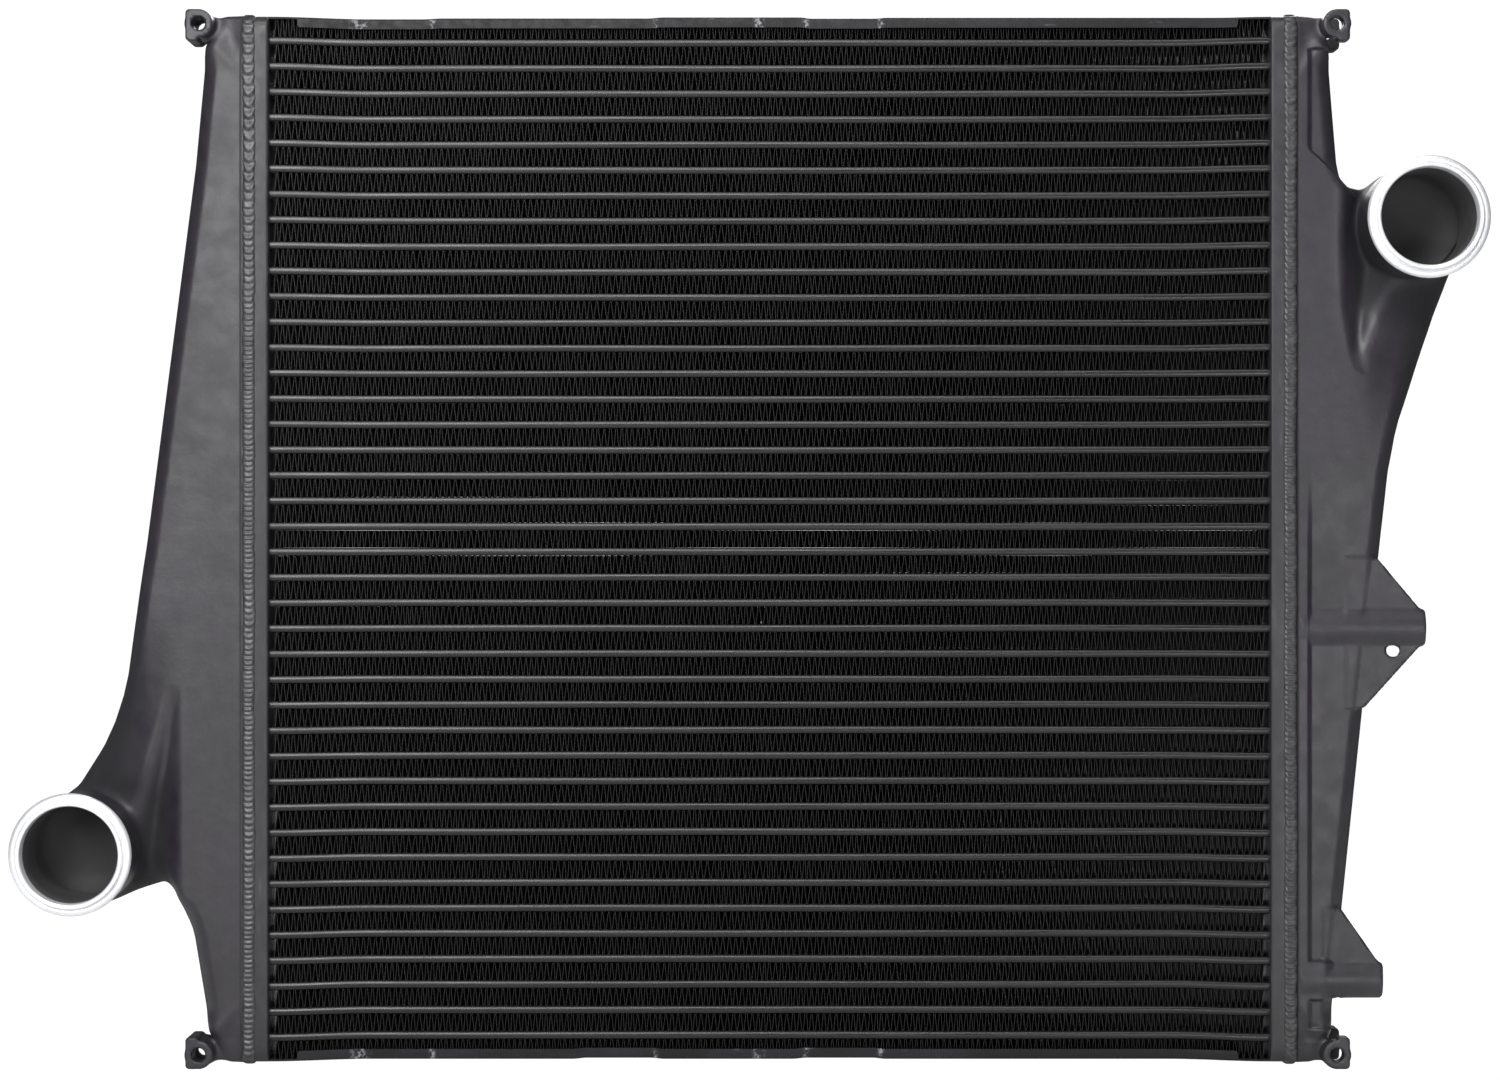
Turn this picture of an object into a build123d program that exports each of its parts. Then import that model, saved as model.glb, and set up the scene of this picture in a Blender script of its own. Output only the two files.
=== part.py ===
"""Charge-air cooler for a heavy truck: a tube-and-fin core between two cast aluminium tanks.

Frame, in millimetres: +X along the tubes, the ports face -Y, +Z up.
The origin is the centre of the four corner lug holes, in the plane of the lugs' front faces.
The forms below are built about the core's mid-plane, and save() moves them to that origin.
"""

import os
from dataclasses import dataclass
from math import asin, atan2, cos, degrees, hypot, sin, sqrt

from build123d import *

# ---------------------------------------------------------------- sizes: core
core_centre_x = 1.5  # middle of the core, off the lug pattern's centre
core_width = 884.0  # between the two header faces
core_depth = 56.0
tube_count = 40
tube_pitch = 22.6
tube_height = 7.0
tube_wall = 0.8
nose_flat = 2.8  # height of the flat at the front of a tube's nose
nose_depth = 2.6  # how far the nose tapers back into the tube
fin_setback = 1.0  # the fins stop this far behind the tubes' noses
fin_end_gap = 4.0  # bare tube between the last fin and the header
rows_per_bank = 6  # fin rows that share one node
turbulator_folds = 2
turbulator_sheet = 0.5
turbulator_clearance = 0.1
turbulator_setback = 12.0  # from each end of its tube

# ---------------------------------------------------------------- sizes: headers and welds
header_plate = 4.0
header_flange = 17.0  # the channel's reach from its core face to the tank joint
header_margin = 8.0  # header in front of the tubes, and behind them
header_height = 924.0
header_corner = 11.0  # also the tanks' corners at the joint
tube_protrusion = 2.0  # tube ends stand this far into the tank
weld_width = 12.0
weld_crown = 2.4

# ---------------------------------------------------------------- sizes: side plates
plate_sheet = 1.5
plate_flange = 9.0
plate_flange_length = 831.0
plate_bend = 2.0  # outside bend radius
plate_clearance = 0.05  # over the tubes' depth, each side

# ---------------------------------------------------------------- sizes: tanks, both
tank_wall = 7.0
tank_edge_radius = 11.0
lug_cut_u = 16.0  # the body's corners are cut away behind the lugs
lug_cut_v = 27.0
corner_step = 4.5  # the face is this much lower at its four corners
corner_line_v = 404.0  # the step runs at 45 degrees, from this height at the joint
neck_depth = 62.0
neck_end_radius = 52.0  # about the port's axis
neck_corner_radius = 12.0  # where its edges run into that round end
neck_front_radius = 18.0
neck_back_bevel = 10.0
neck_inner_bevel = 6.0
neck_lead = 40.0  # the neck starts inside the body, this far before it leaves the long edge
neck_root_u = 4.0
neck_free_u = 50.0  # the neck's edges are rounded from here outward
crotch_radius = 15.0
port_bore_radius = 42.5
port_tip_radius = 46.7
port_bead_radius = 53.5
port_neck_radius = 50.8  # for a 101.6 mm (4 inch) hose
port_face_y = -92.0
bead_lead_in = 8.0
bead_land = 2.0
bead_back = 3.0

# ---------------------------------------------------------------- sizes: corner lugs
lug_allowance = 116.0  # the lugs' spacing in X over the core's width
lug_spacing_z = 906.0
lug_hole_radius = 6.0
lug_face_y = -48.0
lug_outer_reach = 11.5  # hole axis to the flat outer side
lug_end_reach = 12.5  # hole axis to the top (or bottom) side
lug_inner_reach = 15.5  # hole axis to the side that faces the middle
lug_corner = 3.0
lug_boss_radius = 12.5
lug_root_reach = 30.0  # hole axis to the far end of the root, inside the body
boss_length = 43.0  # left tank: one solid boss at each corner
ear_thickness = 15.0  # right tank: a front ear and a rear ear at each corner
ear_root_thickness = 10.0
rear_ear_y = 9.0
rear_ear_thickness = 24.0

# ---------------------------------------------------------------- sizes: right tank's panels and brackets
panel_recess = 4.0
rim_u = 20.0  # the panels are sunk from here outward
rib_height = 5.0  # over the sunk panels
rib_start_u = 10.0  # the ribs come out of the rim
cut_clearance = 1.0  # cuts start this far above the face they sink into
bracket_sheet = 4.5
bracket_hole = (91.4, -97.9)  # u, v
bracket_hole_radius = 6.0


@dataclass
class Tank:
    """One tank. u runs outward from the weld joint, v along Z towards the end that has the port."""

    narrow_u: float  # outer edge at the narrow end
    bend: tuple  # (u, v) where the long edge bends
    leave: tuple  # (u, v) where the flat face leaves the long edge
    face_u: float  # outer edge of the flat face beside the neck
    beside_v: float  # the face has that width from here on
    throat: tuple  # (u, v) of the body where the neck's far side comes out
    port_end_u: float  # outer edge at the port's end
    flare: tuple  # (u, v) where the neck's outer edge bends away from the long edge's line
    flare_radius: float
    flare_touch: float  # from there it runs straight to touch a circle of this radius about the port's axis
    far_touch: float  # and the neck's far edge one of this radius
    crotch: tuple  # (u, v) where the far edge turns along the body
    crotch_exit: tuple  # (u, v) where it is lost inside the body
    port_u: float
    port_v: float


left_tank = Tank(
    narrow_u=39.2,
    bend=(49.0, -330),
    leave=(93.4, 15),
    face_u=66.5,
    beside_v=180.0,
    throat=(55.2, 322),
    port_end_u=36.0,
    flare=(115.9, 172.7),
    flare_radius=320.0,
    flare_touch=43.0,
    far_touch=50.0,
    crotch=(60, 299.5),
    crotch_exit=(53, 325),
    port_u=148.0,
    port_v=274.0,
)
right_tank = Tank(
    narrow_u=37.4,
    bend=(64, -179.5),
    leave=(88.9, 60),
    face_u=52.0,
    beside_v=210.0,
    throat=(44.1, 326),
    port_end_u=35.6,
    flare=(95.0, 97.5),
    flare_radius=150.0,
    flare_touch=50.5,
    far_touch=32.0,
    crotch=(45.5, 312),
    crotch_exit=(42, 336),
    port_u=113.0,
    port_v=280.0,
)
upper_bracket = [  # u, v
    (60, -16.6),
    (77.6, -16.6),
    (114.7, -62.6),
    (120, -76.7),
    (118.3, -89.9),
    (64.5, -149),
    (50, -149),
]
lower_bracket = [  # u, v
    (30, -330),
    (45.8, -330),
    (80.8, -377.7),
    (82, -387.4),
    (81, -398.9),
    (30, -403.3),
]
ribs = [(-78.0, 13.8, 120), (-389.6, 13.7, 82)]  # v, half width, outer end
panels = [(78, 10, -59), (-98, -98, -372), (-407, -407, -431)]  # v: ramp start, ramp end, far end
upper_panel = [(20, 341), (46, 317), (60, 317), (60, 433), (20, 433)]  # u, v

# ---------------------------------------------------------------- worked-out places
header_depth = core_depth + 2 * header_margin
lug_spacing_x = core_width + lug_allowance
half_height = header_height / 2
half_depth = header_depth / 2
core_left = core_centre_x - core_width / 2
core_right = core_centre_x + core_width / 2
fin_height = tube_pitch - tube_height
fin_depth = core_depth - 2 * fin_setback
joint_left = core_left - header_flange
joint_right = core_right + header_flange
tube_length = core_width + 2 * (header_plate + tube_protrusion)
channel_depth = core_depth - 2 * (nose_depth + tube_wall)
channel_height = tube_height - 2 * tube_wall
above_face_y = -half_depth - cut_clearance
panel_y = -half_depth + panel_recess
corner_y = -half_depth + corner_step
tiny = 0.01


def through_depth(sketch, depth):
    """A sketch in the XZ plane carried to both sides of the mid-plane."""
    return extrude(sketch, amount=depth / 2, both=True)


def between(sketch, y_front, y_back):
    """A sketch in the XZ plane carried from y_front back to y_back."""
    return Pos(0, y_back, 0) * extrude(sketch, amount=y_back - y_front)


def corners(points):
    return Plane.XZ * make_face(Polyline(*points, close=True))


# ---------------------------------------------------------------- tank forms, in u, y, v
def rounded(sketch, point, radius):
    """The sketch with the corner at this point rounded."""
    corner = min(sketch.vertices(), key=lambda vertex: hypot(vertex.X - point[0], vertex.Y - point[1]))
    return fillet(corner, radius)


def rim(solid, side_y, start_u):
    """The edges that lie in the plane y = side_y, beyond start_u."""
    return [e for e in solid.edges() if abs(e.center().Y - side_y) < tiny and e.center().X > start_u]


def body(tank, inset):
    """Flat-faced body: tapered, and narrower beside the neck so that the neck can rise from it."""
    cut_v = half_height - lug_cut_v
    outline = Polyline(
        (0, -half_height),
        (tank.narrow_u - lug_cut_u, -half_height),
        (tank.narrow_u, -cut_v),
        tank.bend,
        tank.leave,
        (tank.face_u, tank.beside_v),
        (tank.face_u, tank.port_v),
        tank.throat,
        (tank.port_end_u, cut_v),
        (tank.port_end_u - lug_cut_u, half_height),
        (0, half_height),
        close=True,
    )
    sketch = make_face(outline)
    if inset:
        mouth = Rectangle(4 * inset, 2 * (half_height - inset))
        sketch = offset(sketch, -inset, kind=Kind.INTERSECTION) + mouth
        return through_depth(Plane.XZ * sketch, header_depth - 2 * inset)
    solid = through_depth(Plane.XZ * sketch, header_depth)
    return fillet(rim(solid, -half_depth, tiny) + rim(solid, half_depth, tiny), tank_edge_radius)


def touching(start, tank, radius, side):
    """Where a line from this point touches a circle about the port's axis, on its outer or far side."""
    run_u, run_v = tank.port_u - start[0], tank.port_v - start[1]
    distance = hypot(run_u, run_v)
    heading = atan2(run_u, run_v) + side * asin(radius / distance)
    length = sqrt(distance**2 - radius**2)
    return (start[0] + length * sin(heading), start[1] + length * cos(heading))


def neck(tank, inset):
    """The neck's casting: a flared slab that ends round about the port's axis."""
    outline = Polyline(
        (neck_root_u, tank.leave[1] - neck_lead),
        tank.leave,
        tank.flare,
        touching(tank.flare, tank, tank.flare_touch, 1),
        (tank.port_u, tank.port_v),
        touching(tank.crotch, tank, tank.far_touch, -1),
        tank.crotch,
        tank.crotch_exit,
        (neck_root_u, tank.crotch_exit[1]),
        close=True,
    )
    sketch = rounded(make_face(outline), tank.flare, tank.flare_radius)
    sketch = rounded(sketch, tank.crotch, crotch_radius)
    sketch += Pos(tank.port_u, tank.port_v) * Circle(neck_end_radius)
    for vertex in sketch.vertices():
        if abs(hypot(vertex.X - tank.port_u, vertex.Y - tank.port_v) - neck_end_radius) < tiny:
            sketch = rounded(sketch, (vertex.X, vertex.Y), neck_corner_radius)
    front_y, back_y = -neck_depth / 2, neck_depth / 2
    if inset:
        way = Plane.XZ * offset(sketch, -inset, kind=Kind.INTERSECTION)
        solid = through_depth(way, neck_depth - 2 * inset)
        edges = rim(solid, front_y + inset, neck_free_u) + rim(solid, back_y - inset, neck_free_u)
        return chamfer(edges, neck_inner_bevel)
    solid = through_depth(Plane.XZ * sketch, neck_depth)
    solid = fillet(rim(solid, front_y, neck_free_u), neck_front_radius)
    return chamfer(rim(solid, back_y, neck_free_u), neck_back_bevel)


def nozzle(tank):
    """The turned end: straight pipe, hose bead and lead-in cone."""
    bead_front = port_face_y + bead_lead_in
    bead_rear = bead_front + bead_land
    profile = Polyline(
        (0, 0),
        (port_neck_radius, 0),
        (port_neck_radius, bead_rear + bead_back),
        (port_bead_radius, bead_rear),
        (port_bead_radius, bead_front),
        (port_tip_radius, port_face_y),
        (0, port_face_y),
        close=True,
    )
    return Pos(tank.port_u, 0, tank.port_v) * revolve(make_face(profile), Axis.Y)


def bore(tank):
    length = -port_face_y
    return Pos(tank.port_u, -length / 2, tank.port_v) * Rot(90, 0, 0) * Cylinder(port_bore_radius, length)


def lug_sketch(axis_u, axis_v):
    """Round towards the body, square outside. The end side points away from v = 0."""
    end = 1 if axis_v > 0 else -1
    block_height = lug_end_reach + lug_inner_reach
    block_v = end * (lug_end_reach - lug_inner_reach) / 2
    block = Pos(lug_outer_reach / 2, block_v) * RectangleRounded(lug_outer_reach, block_height, lug_corner)
    bridge = Pos(0, block_v) * Rectangle(lug_outer_reach, block_height - 2 * lug_corner)
    outline = block + bridge + Circle(lug_boss_radius)
    return Plane.XZ * Pos(axis_u, axis_v) * outline


def lug_root_sketch(axis_u, axis_v):
    end = 1 if axis_v > 0 else -1
    root_height = lug_end_reach + lug_inner_reach - 2 * lug_corner
    root_v = end * (lug_end_reach - lug_inner_reach) / 2
    root = Pos(-lug_root_reach / 2, root_v) * Rectangle(lug_root_reach, root_height)
    return Plane.XZ * Pos(axis_u, axis_v) * root


def boss(axis_u, axis_v):
    """A solid lug, with its root in the body."""
    boss_end = lug_face_y + boss_length
    root = between(lug_root_sketch(axis_u, axis_v), corner_y, boss_end)
    return between(lug_sketch(axis_u, axis_v), lug_face_y, boss_end) + root


def ears(axis_u, axis_v):
    """A lug in two ears with an open gap between."""
    ear_back = lug_face_y + ear_thickness
    rear_back = rear_ear_y + rear_ear_thickness
    front = between(lug_sketch(axis_u, axis_v), lug_face_y, ear_back)
    front_root = between(lug_root_sketch(axis_u, axis_v), -half_depth, -half_depth + ear_root_thickness)
    rear = between(lug_sketch(axis_u, axis_v), rear_ear_y, rear_back)
    rear_root = between(lug_root_sketch(axis_u, axis_v), rear_ear_y, rear_back)
    return front + front_root + rear + rear_root


def through_hole(u, v, radius):
    return Pos(u, 0, v) * Rot(90, 0, 0) * Cylinder(radius, 2 * header_depth)


def panel_cut(ramp_start, ramp_end, far_end):
    """A sunk panel, seen from the side as a profile in y and v."""
    profile = Polyline(
        (above_face_y, ramp_start),
        (-half_depth, ramp_start),
        (panel_y, ramp_end),
        (panel_y, far_end),
        (above_face_y, far_end),
        close=True,
    )
    return Pos(rim_u, 0, 0) * extrude(Plane.YZ * make_face(profile), amount=right_tank.port_u)


def rib(v, half_width, outer_u):
    """A half-round rib from the rim to its bracket's outer end."""
    length = outer_u - rib_start_u
    radius = (half_width**2 + rib_height**2) / (2 * rib_height)
    arc = ThreePointArc((panel_y, v - half_width), (panel_y - rib_height, v), (panel_y, v + half_width))
    chord = Line(arc @ 1, arc @ 0)
    return Pos(rib_start_u, 0, 0) * extrude(Plane.YZ * make_face([arc, chord]), amount=length)


def corner_cut(end):
    """The low corner of the face, from the weld's toe outward. end is 1 at the port's end, else -1."""
    toe_u = weld_width / 2
    top_v = half_height + cut_clearance
    inner, outer = (toe_u, end * (corner_line_v + toe_u)), (top_v - corner_line_v, end * top_v)
    return between(corners([inner, outer, (toe_u, end * top_v)]), above_face_y, corner_y)


def cast_tank(tank, lug, axis_u):
    """The casting's outside: body, neck, turned end and lugs."""
    outside = body(tank, 0) + neck(tank, 0) + nozzle(tank)
    for end in (-1, 1):
        outside -= corner_cut(end)
        outside += lug(axis_u, end * lug_spacing_z / 2)
    return outside


def hollow(casting, tank, axis_u):
    """Opens the air's way by the same forms, inset by the wall, and drills the lugs."""
    lug_v = lug_spacing_z / 2
    casting -= body(tank, tank_wall) + neck(tank, tank_wall) + bore(tank)
    for v in (-lug_v, lug_v):
        casting -= through_hole(axis_u, v, lug_hole_radius)
    return casting


def make_left_tank():
    axis_u = joint_left + lug_spacing_x / 2
    casting = hollow(cast_tank(left_tank, boss, axis_u), left_tank, axis_u)
    return Pos(joint_left, 0, 0) * Rot(0, 180, 0) * casting


def make_right_tank():
    axis_u = lug_spacing_x / 2 - joint_right
    casting = cast_tank(right_tank, ears, axis_u)
    for panel in panels:
        casting -= panel_cut(*panel)
    casting -= between(corners(upper_panel), above_face_y, panel_y)
    for outline in (upper_bracket, lower_bracket):
        casting += between(corners(outline), panel_y, panel_y + bracket_sheet)
    for v, half_width, outer_u in ribs:
        casting += rib(v, half_width, outer_u)
    casting -= through_hole(*bracket_hole, bracket_hole_radius)
    return Pos(joint_right, 0, 0) * hollow(casting, right_tank, axis_u)


# ---------------------------------------------------------------- core parts
def tube_section(width, height, nose, flat):
    """A flat section in the YZ plane with noses that taper to a narrow front."""
    shoulder_y, shoulder_z = width / 2 - nose, height / 2
    points = []
    for side_y, side_z in ((1, -1), (1, 1), (-1, 1), (-1, -1)):
        nose_point = (side_y * width / 2, side_z * flat / 2)
        shoulder = (side_y * shoulder_y, side_z * shoulder_z)
        points += [nose_point, shoulder] if side_y == side_z else [shoulder, nose_point]
    return Plane.YZ * make_face(Polyline(*points, close=True))


def tube_level(index):
    return (index - (tube_count - 1) / 2) * tube_pitch


def fin_level(index):
    return (index - tube_count / 2) * tube_pitch


def along_core(section, length):
    """A YZ section carried along X, centred on the core."""
    return Pos(core_centre_x - length / 2, 0, 0) * extrude(section, amount=length)


def make_tube():
    outside = along_core(tube_section(core_depth, tube_height, nose_depth, nose_flat), tube_length)
    channel = Plane.YZ * Rectangle(channel_depth, channel_height)
    return outside - along_core(channel, tube_length)


def make_turbulator():
    """A folded strip that touches the top and bottom of its tube in turn."""
    fold_height = channel_height - turbulator_sheet - 2 * turbulator_clearance
    step = (channel_depth - turbulator_sheet - 2 * turbulator_clearance) / (2 * turbulator_folds)
    levels = [(-1) ** fold * fold_height / 2 for fold in range(2 * turbulator_folds + 1)]
    ridges = [((fold - turbulator_folds) * step, level) for fold, level in enumerate(levels)]
    half_sheet = turbulator_sheet / 2
    outline = [(y, z + half_sheet) for y, z in ridges] + [(y, z - half_sheet) for y, z in reversed(ridges)]
    strip = Plane.YZ * make_face(Polyline(*outline, close=True))
    return along_core(strip, tube_length - 2 * turbulator_setback)


def make_fin_bank(rows):
    """The rows' envelope: one closed block a row."""
    row = along_core(Plane.YZ * Rectangle(fin_depth, fin_height), core_width - 2 * fin_end_gap)
    return Compound(children=[Pos(0, 0, fin_level(index)) * row for index in rows])


# ---------------------------------------------------------------- headers, welds and side plates
def header_section(inset):
    section = RectangleRounded(header_depth - 2 * inset, header_height - 2 * inset, header_corner - inset)
    return Plane.YZ * section


def make_header():
    """A slotted plate with a flange all round. Core face at x = 0, flange reaching towards +X."""
    channel = extrude(header_section(0), amount=header_flange)
    channel -= Pos(header_plate, 0, 0) * extrude(header_section(header_plate), amount=header_flange)
    slot = extrude(tube_section(core_depth, tube_height, nose_depth, nose_flat), amount=header_plate)
    return channel - [Pos(0, 0, tube_level(index)) * slot for index in range(tube_count)]


def make_weld():
    """The bead that runs round the joint, highest along its middle at x = 0."""
    half_width = weld_width / 2
    slope = degrees(atan2(weld_crown, half_width))
    side = extrude(header_section(-weld_crown), amount=half_width, taper=slope)
    return side + mirror(side, about=Plane.YZ) - extrude(header_section(0), amount=weld_width, both=True)


def make_side_plate():
    """A channel over the outermost fins. Its web lies on them, full width; the flanges stop short."""
    fins_top = fin_level(tube_count) + fin_height / 2
    inner_half = core_depth / 2 + plate_clearance
    outer_half = inner_half + plate_sheet
    web_z = fins_top + plate_sheet / 2
    web = Pos(core_centre_x, 0, web_z) * Box(core_width, 2 * (outer_half - plate_bend), plate_sheet)
    bend_y, bend_z = outer_half - plate_bend, fins_top + plate_sheet - plate_bend
    bend = Pos(bend_y, bend_z) * (Circle(plate_bend) - Circle(plate_bend - plate_sheet))
    quarter = Pos(bend_y + plate_bend / 2, bend_z + plate_bend / 2) * Rectangle(plate_bend, plate_bend)
    straight = plate_flange - plate_bend
    flange = Pos(outer_half - plate_sheet / 2, bend_z - straight / 2) * Rectangle(plate_sheet, straight)
    leg = along_core(Plane.YZ * (flange + (bend & quarter)), plate_flange_length)
    return web + leg + mirror(leg, about=Plane.XZ)


def save(shape, name):
    """The core's mid-plane lies behind the frame's origin."""
    export_step(Pos(0, -lug_face_y, 0) * shape, f"parts/{name}.step")


if __name__ == "__main__":
    os.makedirs("parts", exist_ok=True)
    save(make_left_tank(), "tank_left")
    save(make_right_tank(), "tank_right")
    header = make_header()
    save(Pos(core_left, 0, 0) * Rot(0, 180, 0) * header, "header_left")
    save(Pos(core_right, 0, 0) * header, "header_right")
    weld = make_weld()
    save(Pos(joint_left, 0, 0) * weld, "weld_left")
    save(Pos(joint_right, 0, 0) * weld, "weld_right")
    side_plate = make_side_plate()
    save(side_plate, "side_plate_top")
    save(mirror(side_plate, about=Plane.XY), "side_plate_bottom")
    tube, turbulator = make_tube(), make_turbulator()
    for index in range(tube_count):
        save(Pos(0, 0, tube_level(index)) * tube, f"tube_{index + 1:02d}")
    strips = [Pos(0, 0, tube_level(index)) * turbulator for index in range(tube_count)]
    save(Compound(children=strips), "turbulators")
    for bank, first in enumerate(range(0, tube_count + 1, rows_per_bank)):
        rows = range(first, min(first + rows_per_bank, tube_count + 1))
        save(make_fin_bank(rows), f"fin_bank_{bank + 1:02d}")
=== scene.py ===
"""The looks of the charge-air cooler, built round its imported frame.

Shapes are worked out in millimetres and become metres when their mesh is made.
y is measured from the core's mid-plane until then. A tank is shaped in its own u and v: u runs
outward from the weld joint, and v along the height towards the end that has the port.
"""

from collections import namedtuple

import bpy
import numpy as np
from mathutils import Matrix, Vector


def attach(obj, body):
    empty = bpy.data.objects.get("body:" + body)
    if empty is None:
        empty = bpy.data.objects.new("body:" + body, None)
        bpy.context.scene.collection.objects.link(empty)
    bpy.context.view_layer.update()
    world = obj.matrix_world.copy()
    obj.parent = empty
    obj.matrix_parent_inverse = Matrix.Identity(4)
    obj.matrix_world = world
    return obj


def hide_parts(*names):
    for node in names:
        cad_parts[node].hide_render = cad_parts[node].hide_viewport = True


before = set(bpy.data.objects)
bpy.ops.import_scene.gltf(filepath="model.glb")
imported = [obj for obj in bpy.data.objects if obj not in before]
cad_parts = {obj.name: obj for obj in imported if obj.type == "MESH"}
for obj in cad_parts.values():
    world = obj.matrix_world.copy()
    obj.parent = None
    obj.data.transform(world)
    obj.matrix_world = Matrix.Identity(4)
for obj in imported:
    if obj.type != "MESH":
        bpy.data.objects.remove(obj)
scene = bpy.context.scene
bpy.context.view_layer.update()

# ------------ driving sizes, mm
METRE = 0.001
SEED = 11
LUG_FACE_Y = -48.0  # the frame's origin lies in this plane
CORE_CENTRE_X = 1.5
CORE_WIDTH = 884.0
CORE_DEPTH = 56.0
TUBE_COUNT = 40
TUBE_PITCH = 22.6
TUBE_HEIGHT = 7.0
TUBE_WALL = 0.8
HEADER_DEPTH = 72.0
HEADER_HEIGHT = 924.0
HEADER_FLANGE = 17.0
HEADER_PLATE = 4.0
HEADER_CORNER = 11.0
PORT_FACE_Y = -92.0
PORT_BORE = 42.5
PORT_TIP = 46.7
PORT_BEAD = 53.5
PORT_NECK = 50.8
LUG_X = 500.0
LUG_Z = 453.0

core_left = CORE_CENTRE_X - CORE_WIDTH / 2
core_right = CORE_CENTRE_X + CORE_WIDTH / 2
joint_left = core_left - HEADER_FLANGE
joint_right = core_right + HEADER_FLANGE
half_depth = HEADER_DEPTH / 2
half_height = HEADER_HEIGHT / 2


def new_object(name, data):
    thing = bpy.data.objects.new(name, data)
    scene.collection.objects.link(thing)
    return thing


# ------------ meshes
def add_mesh(name, points, faces, material, slot, replaced=(), normals=None, sharp=None):
    """A smooth mesh on the one body, from points in mm. Edges over this many degrees stay sharp."""
    verts = (points - (0, LUG_FACE_Y, 0)) * METRE
    mesh = bpy.data.meshes.new(name)
    mesh.from_pydata(verts.tolist(), [], faces.tolist())
    mesh.polygons.foreach_set("use_smooth", np.ones(len(mesh.polygons), bool))
    if sharp:
        mesh.set_sharp_from_angle(angle=np.radians(sharp))
    if normals is not None:
        mesh.normals_split_custom_set_from_vertices(normals.tolist())
    mesh.materials.append(material)
    mesh.update()
    piece = new_object(name, mesh)
    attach(piece, "root")
    if replaced:
        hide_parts(*replaced)


def ring_faces(stations, around, closed=False):
    """Quads from each ring of points to the next, and from the last to the first where closed."""
    i, j = np.meshgrid(np.arange(stations if closed else stations - 1), np.arange(around), indexing="ij")
    i2, j2 = (i + 1) % stations, (j + 1) % around
    quads = [i * around + j, i2 * around + j, i2 * around + j2, i * around + j2]
    return np.stack(quads, -1).reshape(-1, 4)


def rings_at(x, y, z):
    """Rings of points from coordinates that broadcast to (ring, place in the ring)."""
    return np.stack(np.broadcast_arrays(x, y, z), -1)


def turned_out(points, faces):
    """The quads, turned so that the closed mesh has its inside behind them."""
    a, b, c, d = (points[faces[:, k]] for k in range(4))
    volume = (a * (np.cross(b, c) + np.cross(c, d))).sum()
    return faces if volume > 0 else faces[:, ::-1]


def bar(rings):
    """A solid bar through rings of points, with flat ends."""
    stations, around = rings.shape[:2]
    points = rings.reshape(-1, 3)
    faces = ring_faces(stations, around)
    half = around // 2
    ends = []
    for base in (0, (stations - 1) * around):
        last = base + around - 1
        fan = [(base + k, base + k + 1, last - 1 - k, last - k) for k in range(half - 1)]
        ends.append(fan if base else [face[::-1] for face in fan])
    return points, turned_out(points, np.concatenate([faces, *ends]))


def closed_loop(rings):
    """A mesh through rings of points, the last of them joined to the first."""
    points = rings.reshape(-1, 3)
    return points, turned_out(points, ring_faces(*rings.shape[:2], closed=True))


def shell(outer, inner):
    """A hollow bar between two sets of rings, open at its ends."""
    stations, around = outer.shape[:2]
    points = np.concatenate([outer.reshape(-1, 3), inner.reshape(-1, 3)])
    sides = ring_faces(stations, around)
    i = np.arange(around)
    j, offset, last = (i + 1) % around, stations * around, (stations - 1) * around
    start = np.stack([i, j, offset + j, offset + i], 1)
    end = np.stack([last + i, offset + last + i, offset + last + j, last + j], 1)
    faces = np.concatenate([sides, offset + sides[:, ::-1], start[:, ::-1], end[:, ::-1]])
    return points, turned_out(points, faces)


def merged(parts):
    """One mesh of several (points, faces)."""
    offsets = np.cumsum([0] + [len(points) for points, _ in parts])
    faces = [faces + offset for (_, faces), offset in zip(parts, offsets)]
    return np.concatenate([points for points, _ in parts]), np.concatenate(faces)


# ------------ distance fields
def smooth(x, low, high):
    """0 up to low and 1 from high on, with an even bend between them."""
    t = np.clip((x - low) / (high - low), 0, 1)
    return t * t * (3 - 2 * t)


def join(a, b, width):
    """Union, with a fillet about this wide."""
    h = np.clip(0.5 + 0.5 * (b - a) / width, 0, 1)
    return b + (a - b) * h - width * h * (1 - h)


def cut(a, b, width):
    """a without b, with the edge rounded about this wide."""
    return -join(-a, b, width)


def rounded_outline(corners, step=0.12):
    """A closed outline from (u, v, radius) corners, with round corners as short chords."""
    points = []
    count = len(corners)
    for i, (u, v, radius) in enumerate(corners):
        here = np.array((u, v), float)
        before = np.array(corners[i - 1][:2], float) - here
        after = np.array(corners[(i + 1) % count][:2], float) - here
        if not radius:
            points.append(here)
            continue
        a, b = before / np.hypot(*before), after / np.hypot(*after)
        half = np.arccos(np.clip(a @ b, -1, 1)) / 2
        reach = radius / np.tan(half)
        centre = here + (a + b) / np.hypot(*(a + b)) * radius / np.sin(half)
        start, end = here + a * reach - centre, here + b * reach - centre
        angle = np.arctan2(start[1], start[0])
        turn = np.arctan2(start[0] * end[1] - start[1] * end[0], start @ end)
        for t in np.linspace(0, 1, max(2, int(abs(turn) / step) + 1)):
            points.append(centre + radius * np.array((np.cos(angle + turn * t), np.sin(angle + turn * t))))
    return np.array(points)


def polygon(u, v, points):
    """Signed distance to a closed outline, less than 0 inside."""
    best = np.full(np.broadcast(u, v).shape, 1e12)
    inside = np.zeros(best.shape, bool)
    for (au, av), (bu, bv) in zip(points, np.roll(points, -1, axis=0)):
        eu, ev = bu - au, bv - av
        wu, wv = u - au, v - av
        t = np.clip((wu * eu + wv * ev) / (eu * eu + ev * ev + 1e-12), 0, 1)
        best = np.minimum(best, (wu - eu * t) ** 2 + (wv - ev * t) ** 2)
        if av != bv:
            crosses = (av > v) != (bv > v)
            inside ^= crosses & (u < eu * (v - av) / ev + au)
    return np.where(inside, -1, 1) * np.sqrt(best)


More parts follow.
